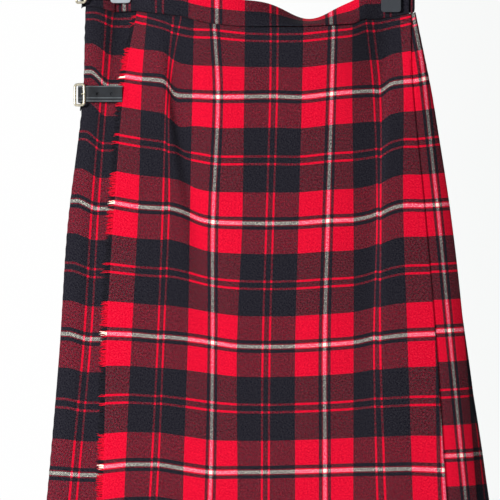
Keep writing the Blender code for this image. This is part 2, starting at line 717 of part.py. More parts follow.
def hanger(steel, pads):
    """A wire hook over a straight bar, with two sprung clips that hold the waistband."""
    turns = np.radians(np.arange(*HOOK_TURN))
    crown = Vector((0, 0, HOOK_WIRE - HOOK_RADIUS))
    line = [crown + Vector((HOOK_RADIUS * math.cos(t), 0, HOOK_RADIUS * math.sin(t))) for t in turns]
    line += [Vector((x * MM, 0, z * MM)) for x, z in HOOK_NECK]
    line.append(Vector((0, 0, bar_height(0) + BAR_TUBE + SEAM_GAP)))
    as_mesh(wire("hanger_hook", line, HOOK_WIRE, steel))
    ends = [Vector((x, 0, bar_height(x))) for x in (-BAR_END, BAR_END)]
    as_mesh(wire("hanger_bar", ends, BAR_TUBE, steel, sides=4))
    way = (ends[1] - ends[0]).normalized()
    for side, x in CLIP_X.items():
        middle, reach = Vector((x, 0, bar_height(x))), way * PIVOT_HALF
        inner, outer = PIVOT_RADIUS
        pivot = as_mesh(wire(f"clip_{side}_pivot", [middle - reach, middle + reach], outer, steel, sides=3))
        bore = wire(f"bore_{side}", [middle - reach * 2, middle + reach * 2], inner, steel, sides=3)
        join(pivot, as_mesh(bore), "DIFFERENCE")
        for face, stand in JAW_PADS.items():
            rows = []
            facing = -1 if stand < 0 else 1
            for up, share, half in JAW_ROWS:
                y = stand * share if share else facing * JAW_AT_PIVOT
                z = CLIP_LOW[side] + up * MM
                rows.append([Vector((x - facing * half * t * MM, y, z)) for t in JAW_ACROSS])
            wall(f"clip_{side}_{face}", rows, JAW_THICK, pads[side])


def main():
    for item in list(bpy.data.objects):
        bpy.data.objects.remove(item, do_unlink=True)
    tartan = material("tartan", (0.45, 0.03, 0.05), 0.9)
    under = material("tartan_under", (0.3, 0.02, 0.04), 0.9)
    band_cloth = material("tartan_band", (0.12, 0.02, 0.03), 0.9)
    fringe = material("fringe_yarn", (0.6, 0.05, 0.07), 0.9)
    leather = material("black_leather", (0.02, 0.02, 0.022), 0.4)
    brass = material("pale_brass", (0.75, 0.68, 0.5), 0.3, 1.0)
    steel = material("hanger_steel", (0.7, 0.7, 0.72), 0.25, 1.0)
    silver = material("silver_pad", (0.7, 0.7, 0.7), 0.5)
    grey = material("grey_pad", (0.1, 0.1, 0.11), 0.6)
    over_apron(tartan)
    pleated_back(under)
    under_apron(tartan)
    waistbands(band_cloth)
    apron_fringe(fringe)
    for name, height, start, stand in STRAPS:
        corner = Corner(height, start, stand)
        strap(name, corner, leather)
        tab(name, corner, leather)
        buckle(name, corner, brass)
    hanger(steel, {"left": silver, "right": grey})


main()
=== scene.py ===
"""Looks of a tartan wrap kilt on its clip hanger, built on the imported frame. Tables are in millimetres."""
import math

import bmesh
import bpy
import numpy as np
from mathutils import Matrix, Vector


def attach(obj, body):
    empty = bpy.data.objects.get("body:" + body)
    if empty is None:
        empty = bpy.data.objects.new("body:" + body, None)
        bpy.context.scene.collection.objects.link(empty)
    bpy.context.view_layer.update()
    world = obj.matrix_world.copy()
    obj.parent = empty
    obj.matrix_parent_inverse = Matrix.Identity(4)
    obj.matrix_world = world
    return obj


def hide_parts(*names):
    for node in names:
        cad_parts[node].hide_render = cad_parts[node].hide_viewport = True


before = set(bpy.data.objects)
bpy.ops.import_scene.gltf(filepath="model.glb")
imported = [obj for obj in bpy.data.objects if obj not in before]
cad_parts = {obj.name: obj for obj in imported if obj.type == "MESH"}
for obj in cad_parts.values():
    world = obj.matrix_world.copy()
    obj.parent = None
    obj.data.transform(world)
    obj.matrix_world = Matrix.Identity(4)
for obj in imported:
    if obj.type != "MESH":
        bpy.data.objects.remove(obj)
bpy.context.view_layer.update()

MM = 0.001
# The tartan's repeat across and down, then the cloth's thicknesses, the band and the pleats.
SETT_ACROSS = 137.0
SETT_DOWN = 151.0
CLOTH = 1.0
PLEAT_CLOTH_THICK = 0.9
BAND_CLOTH = 2.2
BAND_HEIGHT = 32.7
LAYER_INSET = 4.6
PLEATS = 15
PLEAT_CLOTH = 68.5

# One row a level: setts down from the top white line, height, left and right side of the
# silhouette, depth of the front and of the back, width that a pleat shows, distance between
# folded layers, and how far the over apron's edge folds under.
LEVELS = [
    ("seam", -0.58, -151.1, -206.1, 198.4, 29.0, 41.0, 25.5, 1.8, 66.0),
    ("upper", 0.0, -234.5, -208.6, 215.2, 27.0, 36.0, 27.5, 1.9, 64.0),
    ("hip", 1.0, -386.7, -226.5, 241.6, 29.0, 34.0, 33.0, 2.0, 62.0),
    ("thigh", 2.0, -534.2, -236.1, 261.3, 31.0, 35.0, 36.0, 2.3, 60.0),
    ("lower", 3.0, -684.8, -248.7, 280.0, 33.0, 37.0, 38.5, 2.7, 58.0),
    ("hem", 3.82, -808.2, -261.0, 298.9, 35.0, 39.0, 40.5, 3.0, 56.0),
]
COLUMNS = ("name", "setts", "height", "left", "right", "front", "back", "reveal", "layer", "under")
LEVEL_SETTS = np.array([row[1] for row in LEVELS])

# Warp lines of the over apron: setts across, where each hangs, and how far it is drawn up, a level each.
WARPS = [
    (-0.94, (-142.4, -156.6, -168.9, -178.1, -182.0, -187.5), (20.6, 25.5, 25.0, 15.3, 5.6, -1.7)),
    (-0.755, (-129.7, -136.1, -140.3, -148.1, -155.5, -160.3), (18.1, 22.1, 20.2, 14.1, 8.6, 1.9)),
    (-0.534, (-98.4, -106.2, -111.2, -116.9, -124.4, -131.5), (13.9, 15.5, 18.4, 11.5, 9.0, 4.8)),
    (-0.466, (-88.4, -102.4, -102.8, -109.1, -115.4, -122.5), (12.9, 10.2, 18.4, 11.5, 9.0, 4.8)),
    (-0.245, (-73.2, -75.0, -78.1, -80.4, -85.4, -87.5), (8.5, 1.2, 10.1, 8.8, 4.2, 0.9)),
    (0.0, (-49.0, -44.5, -50.5, -50.9, -53.1, -57.1), (3.6, -0.2, 1.8, 4.6, -0.1, -0.4)),
    (0.245, (-12.3, -13.3, -15.6, -21.9, -21.3, -21.2), (0.0, -0.1, 0.4, 0.6, 0.0, -0.3)),
    (0.5, (23.0, 22.3, 17.6, 13.4, 12.3, 11.7), (0.0, 0.4, 0.0, -0.3, 0.2, 0.1)),
    (0.755, (58.2, 56.4, 52.3, 48.2, 48.1, 48.2), (0.0, -0.5, 0.6, 0.3, 1.1, 0.4)),
    (1.0, (94.0, 92.0, 87.3, 83.4, 83.7, 83.5), (1.8, 3.6, 3.3, 2.2, 1.9, 1.1)),
    (1.245, (116.7, 116.5, 118.1, 118.0, 117.6, 117.3), (3.6, 6.0, 4.6, 4.8, 2.9, 1.2)),
    (1.466, (133.2, 142.1, 146.7, 142.5, 145.1, 149.3), (10.3, 7.6, 11.8, 9.9, 3.2, 0.8)),
    (1.534, (142.3, 151.2, 151.6, 150.7, 155.4, 160.8), (10.3, 7.6, 11.8, 9.9, 3.2, 0.8)),
    (1.755, (175.2, 179.2, 178.3, 183.2, 188.4, 192.3), (15.7, 19.0, 21.6, 13.6, 3.5, -0.8)),
    (None, (187.9, 188.8, 203.2, 216.2, 226.9, 236.1), (18.1, 20.0, 21.7, 14.9, 1.6, -9.5)),
]
FOLD = len(WARPS) - 1
# The setts across at the over apron's fold, a level each, and their usual value.
FOLD_SETTS = (1.82, 1.83, 1.90, 1.945, 2.0, 2.01)
USUAL_FOLD_SETTS = 1.92
# Where the first pleat's white line lies round from the fold, and the side panel's middle across.
WHITE_ROUND = (4.0, 17.2, 20.0, 22.0, 28.0, 32.0)
PANEL_MIDDLE = (-176.0, -181.6, -192.8, -201.9, -216.4, -228.5)
# How far the cloth is drawn up at the sides, a level each, and how far the back's middle sags.
SIDE_RISE = {
    "right": (20.5, 24.1, 24.0, 19.5, 18.3, 18.0),
    "left": (26.0, 31.3, 27.5, 14.6, -3.1, -17.7),
    "panel": (20.0, 14.2, 18.0, 8.2, -4.8, -15.7),
    "back sag": (42.0, 34.0, 22.0, 11.0, 3.0, 0.0),
}
# The two long soft folds that come down from the band: which way each faces, then its centre,
# half width and step, a level each.
SOFT_FOLDS = [
    (
        1,
        (-107.5, -102.7, -81.0, -71.5, -66.0, -66.0),
        (8.0, 3.0, 7.0, 15.0, 24.0, 26.0),
        (3.0, 9.0, 6.0, 2.5, 1.0, 0.0),
    ),
    (
        -1,
        (162.4, 158.8, 149.8, 146.8, 146.0, 150.0),
        (8.0, 4.0, 3.5, 7.0, 20.0, 24.0),
        (2.5, 6.0, 8.0, 4.5, 1.0, 0.0),
    ),
]
FOLD_REACH = 34.0
# How steeply the rows drop across the soft folds: centre, half width and half the drop, a level each.
ROW_DROPS = [
    (
        (-100.0, -102.7, -76.0, -71.0, -66.0, -66.0),
        (16.0, 6.0, 14.0, 20.0, 24.0, 26.0),
        (-2.0, -8.8, -4.0, 0.0, 0.0, 0.0),
    ),
    (
        (160.0, 157.6, 151.5, 147.5, 146.0, 150.0),
        (10.0, 6.0, 11.0, 14.0, 20.0, 24.0),
        (1.0, 4.8, 5.0, 2.0, 0.0, 0.0),
    ),
]
# How much more than the others the first pleat shows, a level each.
FIRST_MORE = (0.0, 2.0, 6.0, 9.0, 9.0, 8.0)
# How steeply the side beyond the right fold turns back, a level each, and where the turn starts.
SIDE_TURN = (0.05, 0.22, 0.36, 0.5, 0.6, 0.62)
TURN_START = 7
TURN_BEND = 4
# How much of the over apron's rise the first pleat keeps where it comes out from behind it.
CREASE_SHARE = (1.0, 1.0, 0.9, 0.3, 0.0, 0.0)
# How much of the side panel's width its slope takes, from a plateau at the silhouette.
PANEL_SLOPE = (0.15, 0.46)
# How many setts lower the tartan lies between the level rows, where the cloth is drawn unevenly.
WEFT_SLACK = (
    (0.0, 0.5, 1.0, 1.5, 2.0, 2.5, 3.0, 3.82),
    (0.0, -0.004, 0.0, -0.001, 0.0, 0.006, 0.0, 0.0),
)
# How many setts lower the tartan lies at the band's seam, a warp line each, and how far down that lasts.
SEAM_SHIFT = (
    0.018, 0.012, -0.036, -0.037, -0.022, 0.003, -0.003, -0.012,
    -0.007, 0.008, 0.016, 0.019, 0.021, 0.022, 0.026,
)
SEAM_SHIFT_REACH = 0.55
# The clips press the front and the back together, less and less for this many setts down.
CLIP_X = (-162.3, 164.2)
CLIP_PINCH = 0.64
FRONT_PINCH = 1.28
CLIP_SPREAD = 34.0
CLIP_REACH = 0.98
# The band leans in and down where it dips between the clips.
DIP_X = 66.5
DIP_SPREAD = 38.7
FRONT_LEAN = 0.70
BACK_LEAN = 0.30
BAND_OVERHANG = 1.5
UNDER_END_X = 96.0
UNDER_DROP = 4.0
SEAM_GAP = 0.3
# The band's own sett across, its setts down at the seam, and lines that its pattern is laid from.
BAND_SETT = 137.3
BAND_ROW = 0.3695
BAND_MIDDLE_LINE = 22.7
BAND_EDGE_LINE = -158
BAND_EDGE = -152.5
BAND_BACK_LINE = -193.6
# How much of a pleat's shown width lies before its middle line.
BEFORE_LINE = 0.575
ROWS = np.linspace(LEVEL_SETTS[0], LEVEL_SETTS[-1], 96)
MODELLED_SETTS = (-0.9, 4.2)
OUTLINE_COUNT = 52
# One row a strap: name, height of its middle, where it starts across, how far it stands out.
STRAPS = (("waist", -106.4, -164.8, 0.6), ("hip", -230.4, -159.6, 1.0))
STRAP_HEIGHT = 20.0
# How far from a strap's start its spare holes lie, and the radius and depth of the dark discs behind them,
# painted shadow seen through the holes.
HOLE_PLACES = (-13.2, -30.0)
HOLE_SHADOW_DISC = (2.4, 0.5)

FRINGE_YARNS = 1500
TUFT = 4
YARN_SIDES = 3
YARN_LENGTH = 7.6
YARN_HALF = 0.42
YARN_TAPER = (1.0, 1.0, 0.95, 0.8, 0.3)

# In metres: the camera's place, how wide a view it has at the kilt, and the height the lights face.
CAMERA_PLACE = (-0.00605, -3.2, -0.4185)
FRAME_WIDTH = 0.605
LIT_HEIGHT = -0.45


def smooth(stops, values, where):
    """A smooth curve through values at rising stops, straight beyond them. Each value may be a row."""
    stops, values, where = (np.asarray(a, float) for a in (stops, values, where))
    count = len(stops)
    low, high = np.maximum(np.arange(count) - 1, 0), np.minimum(np.arange(count) + 1, count - 1)
    shape = (-1,) + (1,) * (values.ndim - 1)
    slopes = (values[high] - values[low]) / (stops[high] - stops[low]).reshape(shape)
    inside = np.clip(where, stops[0], stops[-1])
    i = np.clip(np.searchsorted(stops, inside, side="right") - 1, 0, count - 2)
    span = stops[i + 1] - stops[i]
    t = (inside - stops[i]) / span
    if values.ndim > 1 and where.ndim:
        span, t = span[:, None], t[:, None]
    kept = (2 * t**3 - 3 * t**2 + 1) * values[i] + (3 * t**2 - 2 * t**3) * values[i + 1]
    kept = kept + (t**3 - 2 * t**2 + t) * slopes[i] * span + (t**3 - t**2) * slopes[i + 1] * span
    beyond = where - inside
    if values.ndim > 1 and where.ndim:
        beyond = beyond[:, None]
    return kept + beyond * np.where(beyond < 0, slopes[0], slopes[-1])


def at_level(values, setts):
    """A value at a level, from one value for each row of LEVELS."""
    return smooth(LEVEL_SETTS, values, setts)


def size(column, setts):
    """One column of LEVELS at a level."""
    k = COLUMNS.index(column)
    return at_level([row[k] for row in LEVELS], setts)


FINE_SETTS = np.linspace(*MODELLED_SETTS, 120)
FINE_HEIGHTS = size("height", FINE_SETTS)


def setts_at(height):
    """The level whose own height this is."""
    return np.interp(-np.asarray(height), -FINE_HEIGHTS, FINE_SETTS)


def blend(t):
    """From 0 to 1 with level ends."""
    t = np.clip(t, 0.0, 1.0)
    return t * t * (3 - 2 * t)


def lens(x, level):
    """How much of its full depth the outline has at a place across, and the same with the clips."""
    left, right = size("left", level), size("right", level)
    across = np.minimum(np.abs(2 * x - left - right) / (right - left), 1.0)
    full = np.sqrt(1 - across * across)
    near = sum(np.exp(-(((x - c) / CLIP_SPREAD) ** 2)) for c in CLIP_X)
    return full, full * (1 - CLIP_PINCH * near * (1 - blend((level - LEVEL_SETTS[0]) / CLIP_REACH)))


def turned_side(x, level):
    """How far the right side beyond the front fold's line stands back."""
    beyond = np.maximum(x - at_level(WARPS[-1][1], level) - TURN_START, 0.0)
    return at_level(SIDE_TURN, level) * (beyond + TURN_BEND * (np.exp(-beyond / TURN_BEND) - 1))


def front_y(x, level):
    """How far back the front of the cloth lies, with its soft folds."""
    full, pressed = lens(x, level)
    pressed = full - FRONT_PINCH * (full - pressed)
    back = 0.0
    for side, centres, widths, steps in SOFT_FOLDS:
        centre, width = at_level(centres, level), at_level(widths, level)
        inward = side * (x - centre)
        fading = np.exp(-((np.maximum(inward, 0.0) / FOLD_REACH) ** 2))
        back = back + at_level(steps, level) * (1 + np.tanh(inward / width)) / 2 * fading
    return -size("front", level) * pressed + back * full + turned_side(x, level)


def back_y(x, level):
    """How far back the back of the cloth lies."""
    return size("back", level) * lens(x, level)[1] + turned_side(x, level)


WARP_X = np.array([row[1] for row in WARPS]).T
WARP_RISE = np.array([row[2] for row in WARPS]).T
WARP_STOPS = [row[0] for row in WARPS[:-1]] + [USUAL_FOLD_SETTS]


def warp_spot(place):
    """Where a place that counts the warp lines is in setts, and on past the fringed edge."""
    past = np.minimum(place, 0.0) * (WARP_STOPS[1] - WARP_STOPS[0])
    return np.interp(place, range(FOLD + 1), WARP_STOPS) + past


def warp_x(place, setts):
    """Where a warp line hangs across."""
    return smooth(WARP_STOPS, smooth(LEVEL_SETTS, WARP_X, setts), warp_spot(place))


def row_drop(x, setts):
    """How far a row of the cloth is up or down where it crosses the soft folds."""
    drops = [[at_level(values, setts) for values in row] for row in ROW_DROPS]
    return sum(half * np.tanh((x - centre) / width) for centre, width, half in drops)


def warp_rise(place, setts):
    """How far the cloth is drawn up: the warp lines' own rises, with the steep drops between them."""
    gentle = smooth(LEVEL_SETTS, WARP_RISE, setts) - row_drop(smooth(LEVEL_SETTS, WARP_X, setts), setts)
    return smooth(WARP_STOPS, gentle, warp_spot(place)) + row_drop(warp_x(place, setts), setts)


def warp_setts(place, setts):
    """The tartan's own setts across at a place that counts the warp lines."""
    known = [row[0] for row in WARPS[:-1]] + [float(at_level(FOLD_SETTS, setts))]
    return np.interp(place, range(FOLD + 1), known)


def front_points(place, setts, inset=0.0):
    """Points of the over apron's row: place counts its warp lines from the fringed edge."""
    place = np.asarray(place, float)
    x = warp_x(place, setts)
    height = size("height", setts) + warp_rise(place, setts)
    return np.stack([x, front_y(x, setts_at(height)) + inset, height], axis=-1)


def front_rise(x, setts):
    """How far the over apron is drawn up at a place across."""
    places = np.linspace(0, FOLD, 49)
    return np.interp(x, warp_x(places, setts), warp_rise(places, setts))


OUTLINE_LEVELS = np.linspace(*MODELLED_SETTS, OUTLINE_COUNT)
LAST_ROW = OUTLINE_COUNT - 1.001
ALONG = np.arange(-92.0, 1010.0, 1.0)


class Outlines:
    """The garment's outline at each level, from inside the right front fold round to the under apron."""

    def __init__(self):
        folds = np.array([front_points(FOLD, v) for v in FINE_SETTS])
        self.grid, self.right, self.left, self.front_left = [], [], [], []
        for level in OUTLINE_LEVELS:
            left, right = size("left", level), size("right", level)
            middle, half = (left + right) / 2, (right - left) / 2
            crease = np.interp(-size("height", level), -folds[:, 2], folds[:, 0])
            start = -math.acos((crease - 80 - middle) / half)
            end = 2 * math.pi - math.acos((UNDER_END_X + 10 - middle) / half)
            turn = np.concatenate([np.linspace(start, 0.3, 60), np.linspace(0.3, end, 300)[1:]])
            x = middle + half * np.cos(turn)
            behind = (turn > 0) & (turn < math.pi)
            y = np.where(behind, back_y(x, level), front_y(x, level))
            points = np.stack([x, y], axis=1)
            along = np.concatenate([[0], np.cumsum(np.linalg.norm(np.diff(points, axis=0), axis=1))])
            along = along - np.interp(crease, x[turn < 0], along[turn < 0])
            self.right.append(np.interp(0.0, turn, along))
            self.left.append(np.interp(math.pi, turn, along))
            last = turn > math.pi
            self.front_left.append((x[last], along[last]))
            tangent = np.gradient(points, axis=0)
            tangent /= np.linalg.norm(tangent, axis=1)[:, None]
            values = [x, y, tangent[:, 1], -tangent[:, 0]]
            self.grid.append(np.stack([np.interp(ALONG, along, v) for v in values], axis=1))
        self.grid = np.array(self.grid)

    def along_at(self, x, k):
        """The place along the outline where the front left or the under apron is at x."""
        return float(np.interp(x, *self.front_left[k]))

    def place(self, level, s, out):
        """Across and back for places along the outline and out from it, each at its own level."""
        rows = np.clip((level - OUTLINE_LEVELS[0]) / (OUTLINE_LEVELS[1] - OUTLINE_LEVELS[0]), 0, LAST_ROW)
        spots = np.clip(s - ALONG[0], 0, len(ALONG) - 1.001)
        j, i = rows.astype(int), spots.astype(int)
        a, b = (rows - j)[:, None], (spots - i)[:, None]
        low = self.grid[j, i] * (1 - b) + self.grid[j, i + 1] * b
        high = self.grid[j + 1, i] * (1 - b) + self.grid[j + 1, i + 1] * b
        found = low * (1 - a) + high * a
        return found[:, 0] + found[:, 2] * out, found[:, 1] + found[:, 3] * out


outlines = Outlines()


def between_outlines(read, setts):
    """What read gives for the two outlines next to a level, mixed."""
    row = float(np.clip(np.interp(setts, OUTLINE_LEVELS, range(OUTLINE_COUNT)), 0, LAST_ROW))
    k = int(row)
    return read(k) * (1 - row + k) + read(k + 1) * (row - k)


def side_rise(s, setts, level):
    """How far the cloth at places along the outline, each at its own level, is drawn up."""
    right, left, panel, sag = (at_level(SIDE_RISE[n], setts) for n in ("right", "left", "panel", "back sag"))
    start, stop = (np.interp(level, OUTLINE_LEVELS, ends) for ends in (outlines.right, outlines.left))
    x = outlines.place(level, s, 0.0)[0]
    front = front_rise(x, setts)
    edge, side = warp_x(0, setts), size("left", level)
    crease = right + (warp_rise(FOLD, setts) - right) * at_level(CREASE_SHARE, setts)
    round_back = np.clip((s - start) / (stop - start), 0, 1)
    behind = right + (left - right) * round_back - sag * np.sin(math.pi * round_back) ** 1.3
    folded = front + (crease - front) * blend(1 + s / size("under", setts))
    shown = crease + (right - crease) * blend(s / start)
    on_panel = left + (panel - left) * blend(((x - side) / (edge - side) - PANEL_SLOPE[0]) / PANEL_SLOPE[1])
    under = panel + (front - UNDER_DROP - panel) * blend((x - edge) / 30)
    rise = np.where(s <= 0, folded, np.where(s <= start, shown, behind))
    rise = np.where(s > stop, on_panel, rise)
    return np.where((s > stop) & (x >= edge), under, rise)


def rows_round(path_at, rows=ROWS, rise=side_rise):
    """Rows of points along the outline. path_at gives each level's places along and out of it."""
    paths = np.array([path_at(k) for k in range(OUTLINE_COUNT)])
    found = []
    for setts in rows:
        level = np.full(paths.shape[1], float(setts))
        columns = np.arange(paths.shape[1])
        for _ in range(4):
            row = np.clip(np.interp(level, OUTLINE_LEVELS, range(OUTLINE_COUNT)), 0, LAST_ROW)
            j = row.astype(int)
            mix = (row - j)[:, None]
            s, out = (paths[j, columns] * (1 - mix) + paths[j + 1, columns] * mix).T
            height = size("height", setts) + rise(s, setts, level)
            level = setts_at(height)
        x, y = outlines.place(level, s, out)
        found.append((np.stack([x, y, height], axis=1), s))
    return np.array([p for p, _ in found]), np.array([s for _, s in found])


def finer(path, steps):
    """More places along a path, smoothly between those given."""
    path = np.array(path, float)
    return smooth(range(len(path)), path, np.linspace(0, len(path) - 1, steps * (len(path) - 1) + 1))


# --- meshes ---------------------------------------------------------------------------------


def linked(name, data):
    """A mesh, light or camera as an object of the scene."""
    made = bpy.data.objects.new(name, data)
    bpy.context.scene.collection.objects.link(made)
    return made


def smooth_object(name, mesh, finish):
    """A mesh as a smooth object of the scene, in one finish."""
    mesh.materials.append(finish)
    mesh.shade_smooth()
    return linked(name, mesh)


def lay_setts(mesh, spots):
    """The tartan's setts across and down at each corner of each face, as the UV map."""
    layer = mesh.uv_layers.new(name="setts")
    layer.data.foreach_set("uv", spots.astype(np.float32).reshape(-1))


def apply_modifiers(made):
    """An object's modifiers made part of its mesh."""
    bpy.context.view_layer.objects.active = made
    made.select_set(True)
    for change in list(made.modifiers):
        bpy.ops.object.modifier_apply(modifier=change.name)
    made.select_set(False)


def grid_mesh(name, points, setts, finish, closed=False):
    """A mesh from rows of points, with the tartan's setts across and down as its UV map."""
    high, wide = points.shape[:2]
    index = np.arange(high * wide).reshape(high, wide)
    if closed:
        index = np.concatenate([index, index[:1]])
    faces = np.stack([index[:-1, :-1], index[1:, :-1], index[1:, 1:], index[:-1, 1:]], axis=-1)
    faces = faces.reshape(-1, 4)
    mesh = bpy.data.meshes.new(name)
    mesh.from_pydata((points.reshape(-1, 3) * MM).tolist(), [], faces.tolist())
    lay_setts(mesh, setts.reshape(-1, 2)[faces.reshape(-1)])
    return smooth_object(name, mesh, finish)


def thicken(made, thickness):
    """A sheet made a shell of this thickness, half of it to each side."""
    change = made.modifiers.new("thickness", "SOLIDIFY")
    change.thickness = thickness * MM
    change.offset = 0.0
    change.use_rim = True
    apply_modifiers(made)
    return made


def drape(points, amount):
    """Slight unevenness of hanging cloth: long vertical waves, larger towards the hem."""
    x, _, z = np.moveaxis(points, 2, 0)
    low = np.clip((-z - 150) / 660, 0, 1)
    wave = np.sin(x / 17 + 0.6 * np.sin(z / 140) + 1.3) * 0.45 + np.sin(x / 9.1 + z / 310) * 0.16
    wave += np.sin(x / 31 - z / 260 + 0.7) * 0.5 + np.sin(z / 37 + x / 55) * 0.1
    moved = points.copy()
    moved[:, :, 1] += wave * amount * (0.35 + 0.65 * low)
    return moved


def over_apron(finish):
    """The flat front, its folded right edge, and the part that turns under to the hidden seam."""

    def turned_under(k):
        level = OUTLINE_LEVELS[k]
        layer, under = size("layer", level), size("under", level)
        bend = ((0.18, 0.12), (0.36, 0.35), (0.4, 0.5), (0.34, 0.7), (0.1, 0.92))
        path = [(-0.5, 0)] + [(s * layer, -layer * out) for s, out in bend] + [(-1.2, -layer)]
        return path + [(-1.2 - (under - 1.2) * t, -layer) for t in np.linspace(0.06, 1, 16)]

    def rise(s, setts, level):
        return front_rise(outlines.place(level, s, 0.0)[0], setts)

    hidden, along = rows_round(turned_under, rise=rise)
    places = np.concatenate([np.linspace(0, FOLD - 1, 157), np.linspace(FOLD - 0.96, FOLD - 0.05, 22)])
    shown = np.array([front_points(places, v) for v in ROWS])
    points = np.concatenate([shown, hidden], axis=1)
    setts = []
    for v, row in zip(ROWS, along):
        fold = float(at_level(FOLD_SETTS, v))
        across = np.concatenate([warp_setts(places, v), fold + np.abs(row + 0.5) / SETT_ACROSS])
        shift = np.interp(np.concatenate([places, np.full(len(row), FOLD)]), range(FOLD + 1), SEAM_SHIFT)
        shift = shift * (1 - blend((v - ROWS[0]) / SEAM_SHIFT_REACH))
        down = v + shift + float(smooth(*WEFT_SLACK, v)) * (v > 0)
        setts.append(np.stack([across, down], axis=1))
    return thicken(grid_mesh("apron_cloth", drape(points, 0.7), np.array(setts), finish), CLOTH)


def pleat_depth(level):
    """How wide the hidden part of a pleat is."""
    return (PLEAT_CLOTH - size("reveal", level)) / 2


def pleat_fold(n, level):
    """How far from the front fold a pleat's own fold lies; all but the first are even."""
    return n * size("reveal", level) + at_level(FIRST_MORE, level) * (PLEATS - n) / (PLEATS - 1)


def pleat_path(k):
    """Places along and out of the outline for the pleats, and the setts across at each."""
    level = OUTLINE_LEVELS[k]
    reveal, layer, under = (size(n, level) for n in ("reveal", "layer", "under"))
    depth, white = pleat_depth(level), at_level(WHITE_ROUND, level)
    low, mid, deep = -2 * layer, -layer, -2.4 * layer
    path = [(-under * t, deep, 2 + (-under * t - white) / SETT_ACROSS) for t in (1, 0.8, 0.6, 0.4, 0.2)]
    path += [(s, out, 2 + (s - white) / SETT_ACROSS) for s, out in ((-1.0, low), (2.6, 1.2 * mid))]
    share = (reveal - at_level(FIRST_MORE, level) / (PLEATS - 1)) / SETT_ACROSS
    for n in range(1, PLEATS + 1):
        fold = pleat_fold(n, level)
        middle = 2 + (n - 1) * 0.5
        stop = middle + (1 - BEFORE_LINE) * share
        if n == 1:
            stop = 2 + (fold - white) / SETT_ACROSS
        flat = np.linspace(fold - depth * 0.92, fold - 0.6, 9)
        outs = np.interp(flat, [fold - depth * 0.92, fold - depth * 0.4, fold], [-0.06 * layer, 0, 0])
        path += [(s, out, stop - (fold - s) / SETT_ACROSS) for s, out in zip(flat, outs)]
        for along, out in ((0.2, -0.1), (0.4, -0.3), (0.46, -0.5), (0.4, -0.7), (0.2, -0.9)):
            path.append((fold + along * layer, out * layer, stop))
        for t in (0.06, 0.5, 0.94):
            path.append((fold - depth * t, mid, stop + depth * t / SETT_ACROSS))
        if n == PLEATS:
            path.append((fold - depth, mid, stop + depth / SETT_ACROSS))
            continue
        bend = fold - depth
        following = middle + 0.5 - BEFORE_LINE * share
        path += [
            (bend - 0.4 * layer, mid - 0.2 * layer, stop + 0.1),
            (bend - 0.45 * layer, (low + mid) / 2, stop + 0.1),
            (bend - 0.4 * layer, low + 0.2 * layer, stop + 0.1),
            (bend, low, stop + 0.11),
            (fold + 3, low, following),
        ]
    return path


def pleated_back(finish):
    """The knife pleats, from the hidden seam round the right side and across the back."""
    full = np.array([pleat_path(k) for k in range(OUTLINE_COUNT)])
    points, _ = rows_round(lambda k: full[k, :, :2])
    setts = []
    for v in ROWS:
        across = smooth(OUTLINE_LEVELS, full[:, :, 2], v)
        setts.append(np.stack([across, np.full(len(across), v)], axis=1))
    made = grid_mesh("pleated_cloth", drape(points, 0.4), np.array(setts), finish)
    return thicken(made, PLEAT_CLOTH_THICK)


# Shares of the side panel's width where its path bends, which place the waistband changes hands
# at, and how much less than the cloth the pattern runs on round the silhouette.
UNDER_PANEL = (-0.1, 0.08, 0.22, 0.4, 0.58, 0.72, 0.88)
PANEL_SEAM = 9
PANEL_STRETCH = 0.9


def under_path(k):
    """From under the last pleat round the left side, and flat behind the over apron."""
    level = OUTLINE_LEVELS[k]
    layer, fold = size("layer", level), PLEATS * size("reveal", level)
    side = outlines.left[k]
    edge = outlines.along_at(float(warp_x(0, level)), k)
    end = outlines.along_at(UNDER_END_X, k)
    path = [(fold - pleat_depth(level) * t, -2.5 * layer) for t in (1, 0.5, -0.15)]
    path += [(fold + (side - fold) * t, -2 * layer * (1 - blend(t))) for t in (0.4, 0.7)]
    path += [(side + (edge - side) * t, -LAYER_INSET * blend((t - 0.3) / 0.35)) for t in UNDER_PANEL]
    return path + [(edge + (end - edge) * n / 14, -LAYER_INSET) for n in range(1, 15)]


def panel_setts(row, s, setts):
    """The setts across the under apron, from where the side panel's doubled lines hang."""
    front = s >= s[np.argmin(row[:, 0])]
    away = s - np.interp(at_level(PANEL_MIDDLE, setts), row[front, 0], s[front])
    return 0.5 + away * np.where(away < 0, PANEL_STRETCH, 1.0) / SETT_ACROSS


def under_apron(finish):
    """The left side panel and the under apron behind the front."""
    points, along = rows_round(lambda k: finer(under_path(k), 5))
    setts = []
    for v, row, s in zip(ROWS, points, along):
        setts.append(np.stack([panel_setts(row, s, v), np.full(len(s), v)], axis=1))
    return thicken(grid_mesh("under_cloth", drape(points, 0.5), np.array(setts), finish), CLOTH)


